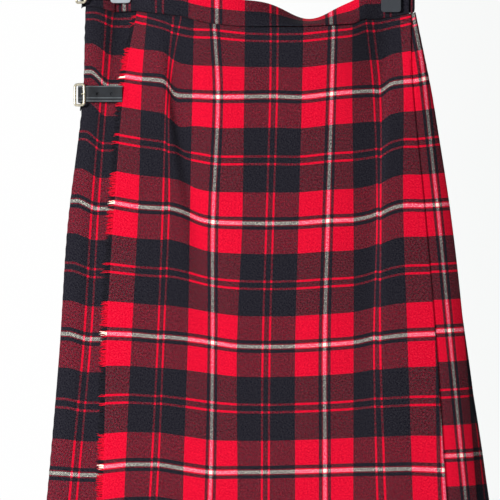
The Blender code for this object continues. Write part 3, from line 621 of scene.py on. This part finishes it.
def band(name, base, across, side, lean_in, finish):
    """A folded waistband that stands on a line of points and leans in where it dips."""
    half = BAND_CLOTH / 2
    turns = np.linspace(0, math.pi, 7)
    straight = BAND_HEIGHT - half
    up = np.concatenate([np.linspace(0, straight, 10), straight + half * np.sin(turns[1:-1])])
    up = np.concatenate([up, np.linspace(straight, 0, 10)])
    out = np.concatenate([np.full(10, 1.0), np.cos(turns[1:-1]), np.full(10, -1.0)]) * half
    out[[0, -1]] *= 0.55
    upright = 1 - lean_in * np.exp(-(((base[:, 0] - DIP_X) / DIP_SPREAD) ** 2))
    leaning = np.sqrt(1 - upright * upright)
    clear = SEAM_GAP + 0.2 + leaning * BAND_CLOTH * 0.6
    run = np.gradient(base[:, :2], axis=0)
    run /= np.linalg.norm(run, axis=1)[:, None]
    outward = np.stack([run[:, 1], -run[:, 0]], axis=1)
    points, setts = [], []
    for height, shift in zip(up, out):
        row = base.copy()
        row[:, 0] += outward[:, 0] * shift * upright
        row[:, 1] += outward[:, 1] * shift * upright - side * leaning * height
        row[:, 2] += height * upright + clear - shift * leaning * np.sign(-outward[:, 1] * side)
        points.append(row)
        setts.append(np.stack([across, np.full(len(across), BAND_ROW - height / SETT_DOWN)], axis=1))
    return grid_mesh(name, np.array(points), np.array(setts), finish, closed=True)


def close_ends(made):
    """Fill the open ends of a band."""
    shape = bmesh.new()
    shape.from_mesh(made.data)
    rims = [e for e in shape.edges if e.is_boundary]
    bmesh.ops.holes_fill(shape, edges=rims, sides=0)
    shape.to_mesh(made.data)
    shape.free()
    return made


def waistbands(finish):
    """The band in its three pieces: over the front, over the under apron and round the back."""
    setts = LEVEL_SETTS[0]
    places = np.linspace(-BAND_OVERHANG, FOLD - 0.15, 140)
    over = front_points(places, setts)
    first = front_points(0.0, setts)
    out = places < 0
    over[out, 2] = first[2]
    over[out, 1] = front_y(over[out, 0], setts_at(over[out, 2]))
    x = over[:, 0]
    across = 0.5 + (x - BAND_MIDDLE_LINE) / BAND_SETT
    across = np.where(x < BAND_EDGE, -1 + (x - BAND_EDGE_LINE) / BAND_SETT, across)
    front = band("band_front", over, across, -1, FRONT_LEAN, finish)
    under, along = rows_round(lambda k: finer(under_path(k), 5)[5 * PANEL_SEAM :], rows=[setts])
    band_under = band("band_under", under[0], along[0] / BAND_SETT - 0.2, -1, FRONT_LEAN, finish)

    def path_at(k):
        level = OUTLINE_LEVELS[k]
        layer = size("layer", level)
        path = [(SEAM_GAP + 0.5, -layer)]
        for n in range(1, PLEATS + 1):
            path += [(pleat_fold(n, level) - pleat_depth(level) * t, -layer) for t in (0.7, 0.0)]
        rest = under_path(k)[3 : PANEL_SEAM + 1]
        rest[-1] = (rest[-1][0] - 3 * SEAM_GAP, rest[-1][1])
        return finer(path + rest, 4)

    back, along = rows_round(path_at, rows=[setts])
    turn = between_outlines(lambda k: outlines.along_at(BAND_BACK_LINE, k), setts)
    across = (along[0] - turn) / BAND_SETT + 4 - 0.245
    rest = band("band_back", back[0], across, 1, BACK_LEAN, finish)
    return [close_ends(piece) for piece in (front, band_under, rest)]


def fringe(finish):
    """Frayed weft ends along the over apron's left edge, in small uneven tufts."""
    rng = np.random.default_rng(7)
    levels = np.linspace(ROWS[0] + 0.012, ROWS[-1] - 0.004, FRINGE_YARNS)
    levels += rng.normal(0, 0.0016, FRINGE_YARNS)
    steps = np.array([0.0, 0.3, 0.62, 0.86, 1.0])
    vertices, faces, spots = [], [], []
    tufts = rng.normal(0, 1, (FRINGE_YARNS // TUFT + 2, 3))
    step = (levels[-1] - levels[0]) / FRINGE_YARNS * SETT_DOWN
    for k, v in enumerate(levels):
        root = front_points(0.0, v)
        tuft = tufts[k // TUFT]
        gather = (0.6 - 0.35 * blend((v - 0.1) / 0.9)) * (k % TUFT - (TUFT - 1) / 2) * step
        short = 0.62 + 0.38 * blend((v + 0.5) / 0.5)
        reach = (YARN_LENGTH + 0.9 * tuft[0] + rng.normal(0, 0.9)) * short
        drop = 0.9 * tuft[1] + rng.normal(0, 0.5) - 0.4
        back = 1.1 + 0.4 * tuft[2] + rng.normal(0, 0.25)
        kink = rng.normal(0, 0.35)
        line = np.stack([
            root[0] + 1.2 - (reach + 1.2) * steps,
            root[1] + 0.1 + (back + 0.9) * steps**1.3 + 0.13 * reach * steps,
            root[2] + (drop + gather) * steps**1.6 + kink * np.sin(steps * math.pi),
        ], axis=1)
        start = len(vertices)
        for point, share in zip(line, YARN_TAPER):
            for side in range(YARN_SIDES):
                a = 2 * math.pi * side / YARN_SIDES + k
                vertices.append(point + YARN_HALF * share * np.array([0, math.cos(a), math.sin(a)]))
                spots.append((WARP_STOPS[0] - (root[0] - point[0]) / SETT_ACROSS, v))
        for j in range(len(steps) - 1):
            ring = start + j * YARN_SIDES
            for side in range(YARN_SIDES):
                a, b = ring + side, ring + (side + 1) % YARN_SIDES
                faces.append((a, b, b + YARN_SIDES, a + YARN_SIDES))
    mesh = bpy.data.meshes.new("fringe_yarns")
    mesh.from_pydata((np.array(vertices) * MM).tolist(), [], faces)
    lay_setts(mesh, np.array(spots)[np.array(faces).reshape(-1)])
    return smooth_object("fringe_yarns", mesh, finish)


# --- materials ------------------------------------------------------------------------------


def linear(*srgb):
    """A colour given as 0 to 255 screen values."""
    parts = [c / 255 for c in srgb]
    return tuple(c / 12.92 if c <= 0.04 else ((c + 0.055) / 1.055) ** 2.4 for c in parts) + (1.0,)


class Shader:
    """Short ways to add nodes to a material."""

    def __init__(self, name):
        self.material = bpy.data.materials.new(name)
        self.material.use_nodes = True
        self.tree = self.material.node_tree
        self.main = self.tree.nodes["Principled BSDF"]

    def node(self, kind, **settings):
        made = self.tree.nodes.new(kind)
        for key, value in settings.items():
            setattr(made, key, value)
        return made

    def put(self, value, socket):
        if isinstance(value, bpy.types.NodeSocket):
            self.tree.links.new(value, socket)
        else:
            socket.default_value = value

    def math(self, operation, *values):
        made = self.node("ShaderNodeMath", operation=operation)
        for value, socket in zip(values, made.inputs):
            self.put(value, socket)
        return made.outputs[0]

    def mix(self, factor, a, b, kind="MIX"):
        made = self.node("ShaderNodeMix", data_type="RGBA", blend_type=kind)
        self.put(factor, made.inputs[0])
        self.put(a, made.inputs[6])
        self.put(b, made.inputs[7])
        return made.outputs[2]

    def ramp(self, value, stops, interpolation="LINEAR"):
        made = self.node("ShaderNodeValToRGB")
        made.color_ramp.interpolation = interpolation
        elements = made.color_ramp.elements
        while len(elements) < len(stops):
            elements.new(0.5)
        for element, (position, colour) in zip(elements, stops):
            element.position = position
            element.color = colour
        self.put(value, made.inputs[0])
        return made.outputs[0]

    def noise(self, vector, scale, detail=2.0, roughness=0.5):
        made = self.node("ShaderNodeTexNoise")
        self.put(vector, made.inputs["Vector"])
        made.inputs["Scale"].default_value = scale
        made.inputs["Detail"].default_value = detail
        made.inputs["Roughness"].default_value = roughness
        return made.outputs["Fac"]

    def stretched(self, vector, scale, turn=0.0):
        """A vector turned and scaled, for a pattern that is finer one way than the other."""
        made = self.node("ShaderNodeMapping")
        self.put(vector, made.inputs[0])
        made.inputs["Rotation"].default_value = (0.0, 0.0, turn)
        made.inputs["Scale"].default_value = scale
        return made.outputs[0]

    def split(self, value, kind="ShaderNodeSeparateXYZ"):
        """The three parts of a vector or, with another kind of node, of a colour."""
        made = self.node(kind)
        self.put(value, made.inputs[0])
        return made.outputs

    def place(self):
        """Where on the object, in metres."""
        return self.node("ShaderNodeTexCoord").outputs["Object"]

    def bump(self, height, strength, distance):
        made = self.node("ShaderNodeBump")
        made.inputs["Strength"].default_value = strength
        made.inputs["Distance"].default_value = distance
        self.put(height, made.inputs["Height"])
        self.tree.links.new(made.outputs[0], self.main.inputs["Normal"])

    def set(self, **values):
        """Values of the surface, by the sockets' names."""
        for key, value in values.items():
            self.put(value, self.main.inputs[key.replace("_", " ")])
        return self


RED = linear(243, 16, 54)
BLACK = linear(38, 37, 45)
WHITE = (1.6, 1.36, 1.14, 1.0)
# Yarns of two colours mix darker than their mean, so colours are mixed as their roots.
BRIGHTEST = 2.4
ROOT = 0.12
# Distance from a white line to the next doubled red line, as a share: where each colour starts.
STRIPES = [
    (0.0, WHITE),
    (0.0244, RED),
    (0.0455, BLACK),
    (0.1015, RED),
    (0.4903, BLACK),
    (0.919, RED),
    (0.954, BLACK),
]
# Yarns in a sett across and down. Then how much the two sets' shares vary, how much the colour
# varies, how much light lint lies on it, and how much nap greys it where two colours cross.
THREADS = (232.0, 256.0)
GRAIN = 1.6
FLECK = 0.8
LINT = 0.05
NAP = 0.284


def rooted(colour):
    """A colour as its root, which is how yarns are mixed."""
    return tuple((c / BRIGHTEST) ** ROOT for c in colour[:3]) + (1.0,)


def tartan(name, yarns_only=False):
    """A twill of two sets of striped yarns, from the setts across and down in the UV map."""
    shader = Shader(name)
    where = shader.node("ShaderNodeUVMap", uv_map="setts").outputs[0]
    across, down = shader.split(where)[:2]

    def stripes(setts):
        near = shader.math("PINGPONG", setts, 0.5)
        stops = [(place, rooted(colour)) for place, colour in STRIPES]
        return shader.ramp(shader.math("MULTIPLY", near, 2.0), stops, "CONSTANT")

    i, j = (shader.math("MULTIPLY", v, n) for v, n in zip((across, down), THREADS))
    slant = shader.math("ADD", shader.math("FLOOR", i), shader.math("FLOOR", j))
    over = shader.math("LESS_THAN", shader.math("FLOORED_MODULO", slant, 4.0), 2.0)
    loose = LINT
    if yarns_only:
        colour = stripes(down)
    else:
        grain = shader.stretched(where, (120.0, 78.0, 1.0), 0.25)
        speckle = shader.math("SUBTRACT", shader.noise(grain, 1.0, 2.0, 0.7), 0.5)
        share = shader.math("MULTIPLY_ADD", over, 0.2, 0.365)
        share = shader.math("MULTIPLY_ADD", speckle, GRAIN, share)
        weft, warp = stripes(down), stripes(across)
        colour = shader.mix(share, weft, warp)
        # Where red and black yarns cross, the black one's nap greys the red.
        ends = [shader.split(yarn, "ShaderNodeSeparateColor") for yarn in (weft, warp)]
        apart = shader.math("ABSOLUTE", shader.math("SUBTRACT", ends[0][0], ends[1][0]))
        not_white = shader.math("SUBTRACT", 1.0, shader.math("MAXIMUM", ends[0][1], ends[1][1]))
        loose = shader.math("MULTIPLY_ADD", apart, 3 * LINT, LINT)
        nap = shader.node("ShaderNodeCombineColor")
        greyed = shader.math("MULTIPLY", shader.math("MULTIPLY", apart, not_white), NAP)
        shader.put(shader.math("MULTIPLY", greyed, -0.62), nap.inputs[0])
        shader.put(greyed, nap.inputs[1])
        colour = shader.mix(1.0, colour, nap.outputs[0], "ADD")
    power = shader.node("ShaderNodeGamma")
    shader.put(colour, power.inputs[0])
    power.inputs[1].default_value = 1 / ROOT
    colour = shader.mix(1.0, power.outputs[0], (BRIGHTEST, BRIGHTEST, BRIGHTEST, 1), "MULTIPLY")
    streaks = [shader.stretched(where, scale) for scale in ((70.0, 5.0, 1.0), (5.0, 70.0, 1.0))]
    uneven = shader.math("ADD", *(shader.noise(streak, 1.0, 3.0) for streak in streaks))
    darker, whole = (0.84, 0.84, 0.84, 1), (1, 1, 1, 1)
    shade = shader.ramp(shader.math("MULTIPLY", uneven, 0.5), [(0.3, darker), (0.7, whole)])
    colour = shader.mix(1.0, colour, shade, "MULTIPLY")
    fleck = shader.stretched(where, (88.0, 97.0, 1.0), -0.6)
    lint = shader.math("SUBTRACT", shader.noise(fleck, 1.0, 1.0, 0.6), 0.5)
    colour = shader.mix(1.0, colour, shader.math("MULTIPLY_ADD", lint, FLECK, 1.0), "MULTIPLY")
    colour = shader.mix(1.0, colour, shader.math("MULTIPLY", lint, loose), "ADD")
    fuzz = shader.noise(shader.place(), 900.0, 2.0)
    shader.set(Base_Color=colour, Roughness=0.95, Specular_IOR_Level=0.06)
    shader.set(Sheen_Weight=0.025, Sheen_Roughness=0.5)
    wale = shader.math("SINE", shader.math("MULTIPLY", shader.math("ADD", i, j), math.pi / 2))
    height = shader.math("MULTIPLY_ADD", fuzz, 0.8, shader.math("MULTIPLY", wale, 0.4))
    shader.bump(height, 0.35, 0.25 * MM)
    return shader.material


def leather(name, middle):
    """Black satin leather. Its rolled edges and a pressed line lie at heights from the strap's middle; they
    get bumps and pale painted highlights.
    """
    shader = Shader(name)
    place = shader.place()
    above = shader.math("SUBTRACT", shader.split(place)[2], middle)
    up = shader.math("MULTIPLY_ADD", above, 0.8 / STRAP_HEIGHT / MM, 0.5)
    black, grey = (0, 0, 0, 1), (1, 1, 1, 1)
    line = [(0.0, black), (0.13, black), (0.16, grey), (0.19, black)]
    line += [(0.28, black), (0.31, grey), (0.34, black)]
    line += [(0.82, black), (0.86, grey), (0.9, black)]
    pressed = shader.ramp(up, line)
    grain = shader.node("ShaderNodeTexVoronoi")
    shader.put(place, grain.inputs["Vector"])
    grain.inputs["Scale"].default_value = 1400.0
    cloud = shader.noise(place, 120.0, 3.0)
    worn = shader.ramp(cloud, [(0.3, linear(20, 23, 28)), (0.75, linear(36, 40, 46))])
    # Pale painted highlights along the rolled edges and the pressed line, broken up by a noise.
    painted_highlight = shader.math("MULTIPLY", pressed, shader.noise(place, 60.0, 2.0))
    pale = shader.mix(painted_highlight, worn, linear(150, 158, 162))
    shader.set(Base_Color=pale, Specular_IOR_Level=0.3)
    shader.set(Roughness=shader.math("MULTIPLY_ADD", cloud, 0.2, 0.45))
    height = shader.math("ADD", grain.outputs["Distance"], cloud)
    shader.bump(shader.math("MULTIPLY_ADD", pressed, 3.0, height), 0.3, 0.15 * MM)
    return shader.material


def metal(name, colour, roughness, metallic=1.0):
    """Metal with darker worn clouds and fine scratches."""
    shader = Shader(name)
    place = shader.place()
    wear = shader.noise(place, 260.0, 4.0)
    darker = tuple(c * 0.8 for c in colour[:3]) + (1.0,)
    shader.set(Base_Color=shader.ramp(wear, [(0.35, darker), (0.6, colour)]), Metallic=metallic)
    shader.set(Roughness=shader.math("MULTIPLY_ADD", wear, 0.18, roughness))
    shader.bump(shader.noise(place, 1500.0), 0.06, 0.1 * MM)
    return shader.material


def plastic(name, colour, roughness, metallic=0.0):
    """Moulded plastic with a slightly uneven colour and a fine grain."""
    shader = Shader(name)
    place = shader.place()
    cloud = shader.noise(place, 90.0, 3.0)
    darker = tuple(c * 0.85 for c in colour[:3]) + (1.0,)
    shader.set(Base_Color=shader.ramp(cloud, [(0.35, darker), (0.65, colour)]), Metallic=metallic)
    shader.set(Roughness=shader.math("MULTIPLY_ADD", cloud, 0.1, roughness))
    shader.bump(shader.noise(place, 2200.0), 0.12, 0.1 * MM)
    return shader.material


# --- hardware from the frame's own solids -----------------------------------------------------


def rounded(node, name, finish, voxel=0.0, edge=0.0, smoothing=0):
    """A CAD solid with its edges worn round, which stands for it."""
    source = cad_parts[node]
    mesh = source.data.copy()
    mesh.materials.clear()
    mesh.materials.append(finish)
    made = linked(name, mesh)
    shape = bmesh.new()
    shape.from_mesh(mesh)
    bmesh.ops.remove_doubles(shape, verts=shape.verts, dist=0.002 * MM)
    bmesh.ops.dissolve_limit(
        shape, angle_limit=math.radians(1.0), verts=shape.verts, edges=shape.edges
    )
    shape.to_mesh(mesh)
    shape.free()
    if voxel:
        change = made.modifiers.new("remesh", "REMESH")
        change.mode = "VOXEL"
        change.voxel_size = voxel * MM
        change.use_smooth_shade = True
        soften = made.modifiers.new("soften", "SMOOTH")
        soften.iterations = smoothing
    if edge:
        change = made.modifiers.new("edges", "BEVEL")
        change.width = edge * MM
        change.segments = 2
        change.limit_method = "ANGLE"
        change.angle_limit = math.radians(40)
        mesh.shade_smooth()
        mesh.set_sharp_from_angle(angle=math.radians(35))
    apply_modifiers(made)
    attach(made, "root")
    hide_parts(node)
    return made


def hole_shadow_discs(finish):
    """Dark discs behind the straps' spare holes: painted shadow seen through them."""
    shape = bmesh.new()
    radius, depth = (length * MM for length in HOLE_SHADOW_DISC)
    for _, height, start, stand in STRAPS:
        level = max(float(setts_at(height)), ROWS[0])
        for along in HOLE_PLACES:
            x = start + along
            spot = Vector((x, float(front_y(x, level)) - 0.5 - stand, height)) * MM
            turn = Matrix.Translation(spot) @ Matrix.Rotation(math.radians(90), 4, "X")
            bmesh.ops.create_cone(
                shape, cap_ends=True, segments=20, radius1=radius, radius2=radius, depth=depth, matrix=turn
            )
    mesh = bpy.data.meshes.new("hole_shadow_discs")
    shape.to_mesh(mesh)
    shape.free()
    mesh.materials.append(finish)
    return linked("hole_shadow_discs", mesh)


def studio():
    """Floor, soft lights and the camera."""
    bpy.ops.mesh.primitive_circle_add(vertices=96, radius=2.1, fill_type="NGON", location=(0, 0, -1.0))
    floor = bpy.context.object
    floor.name = "floor"
    pale = Shader("pale_floor")
    clouds = [(0.3, (0.80, 0.80, 0.80, 1)), (0.7, (0.86, 0.86, 0.86, 1))]
    pale.set(Base_Color=pale.ramp(pale.noise(pale.place(), 3.0), clouds), Roughness=0.8)
    floor.data.materials.append(pale.material)

    world = bpy.data.worlds.new("studio")
    bpy.context.scene.world = world
    world.use_nodes = True
    tree = world.node_tree
    tree.nodes.clear()
    path = tree.nodes.new("ShaderNodeLightPath")
    seen, lit = (tree.nodes.new("ShaderNodeBackground") for _ in range(2))
    # The backdrop seen by the camera gets painted shade, a little darker towards the right.
    direction = tree.nodes.new("ShaderNodeTexCoord")
    split = tree.nodes.new("ShaderNodeSeparateXYZ")
    painted_backdrop_shade = tree.nodes.new("ShaderNodeValToRGB")
    painted_backdrop_shade.color_ramp.elements[0].position = 0.0
    painted_backdrop_shade.color_ramp.elements[0].color = (0.995, 0.995, 0.995, 1)
    painted_backdrop_shade.color_ramp.elements[1].position = 0.09
    painted_backdrop_shade.color_ramp.elements[1].color = (0.93, 0.94, 0.935, 1)
    tree.links.new(direction.outputs["Generated"], split.inputs[0])
    tree.links.new(split.outputs[0], painted_backdrop_shade.inputs[0])
    tree.links.new(painted_backdrop_shade.outputs[0], seen.inputs[0])
    seen.inputs[1].default_value = 1.0
    lit.inputs[0].default_value = (0.95, 0.97, 1.0, 1)
    lit.inputs[1].default_value = 0.12
    mixed = tree.nodes.new("ShaderNodeMixShader")
    out = tree.nodes.new("ShaderNodeOutputWorld")
    tree.links.new(path.outputs["Is Camera Ray"], mixed.inputs[0])
    tree.links.new(lit.outputs[0], mixed.inputs[1])
    tree.links.new(seen.outputs[0], mixed.inputs[2])
    tree.links.new(mixed.outputs[0], out.inputs[0])

    # Each light's name, place, power in watts and width.
    for name, spot, power, wide in (
        ("key", (-4.3, -6.2, 1.1), 500.0, 1.7),
        ("left", (-3.2, -1.0, 0.0), 16.0, 0.8),
        ("fill", (0.3, -3.2, 0.4), 8.0, 1.6),
        ("back", (0.4, 2.6, 0.5), 40.0, 2.0),
    ):
        light = bpy.data.lights.new(name, "AREA")
        light.energy = power
        light.size = wide
        made = linked(name, light)
        made.location = spot
        aim = Vector((0, 0, LIT_HEIGHT)) - Vector(spot)
        made.rotation_euler = aim.to_track_quat("-Z", "Y").to_euler()

    camera = bpy.data.cameras.new("camera")
    camera.sensor_fit = "HORIZONTAL"
    camera.sensor_width = 36.0
    camera.lens = camera.sensor_width * -CAMERA_PLACE[1] / FRAME_WIDTH
    camera.clip_start = 0.05
    made = linked("camera", camera)
    made.location = CAMERA_PLACE
    made.rotation_euler = (math.radians(90), 0, 0)
    bpy.context.scene.camera = made
    bpy.context.scene.view_settings.view_transform = "Standard"


def main():
    """The studio, the cloth and the hardware, with what each stands for."""
    studio()
    cloth = tartan("tartan")
    yarn = tartan("tartan_yarn", yarns_only=True)
    apron, pleats, under = over_apron(cloth), pleated_back(cloth), under_apron(cloth)
    bands = waistbands(cloth)
    yarns = fringe(yarn)
    for piece, node, slot in (
        (apron, "over_apron", "tartan"),
        (pleats, "pleated_back", "tartan_pleats"),
        (under, "under_apron", "tartan"),
        (bands[0], "waistband_over_apron", "tartan_band"),
        (bands[1], "waistband_under_apron", "tartan_band"),
        (bands[2], "waistband_back", "tartan_band"),
        (yarns, "apron_fringe", "fringe_yarn"),
    ):
        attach(piece, "root")
        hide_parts(node)

    middles = {name: height * MM for name, height, _, _ in STRAPS}
    black = {
        "hip": leather("black_leather", middles["hip"]),
        "waist": leather("black_leather_waist", middles["waist"]),
    }
    brass = metal("pale_brass", linear(240, 231, 206), 0.28, 0.65)
    steel = metal("hanger_steel", linear(205, 207, 210), 0.2)
    # The two clips' pads are one kind of plastic in a pale and a dark copy: painted reflections, pale on the
    # left pad and dark on the right.
    pale_reflection_pad = plastic("silver_pad", linear(180, 188, 194), 0.4, 0.15)
    grey = plastic("grey_pad", linear(52, 57, 64), 0.6)
    shadow_discs = hole_shadow_discs(black["hip"])
    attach(shadow_discs, "root")
    for place in ("hip", "waist"):
        strap = rounded(f"strap_{place}", f"strap_leather_{place}", black[place], edge=0.45)
        tab = rounded(f"tab_{place}", f"tab_leather_{place}", black[place], edge=0.3)
        buckle = rounded(f"buckle_{place}", f"buckle_brass_{place}", brass, voxel=0.3, smoothing=6)
        prong = rounded(f"prong_{place}", f"prong_brass_{place}", brass, voxel=0.22, smoothing=4)
    rounded("hanger_hook", "hook_wire", steel, voxel=0.5, smoothing=5)
    rounded("hanger_bar", "bar_tube", steel, edge=0.4)
    for side, finish, slot in (("left", pale_reflection_pad, "silver_pad"), ("right", grey, "grey_pad")):
        for face in ("front", "back"):
            rounded(f"clip_{side}_{face}", f"jaw_{side}_{face}", finish, edge=0.5)
        rounded(f"clip_{side}_pivot", f"pivot_{side}", steel, edge=0.2)


main()
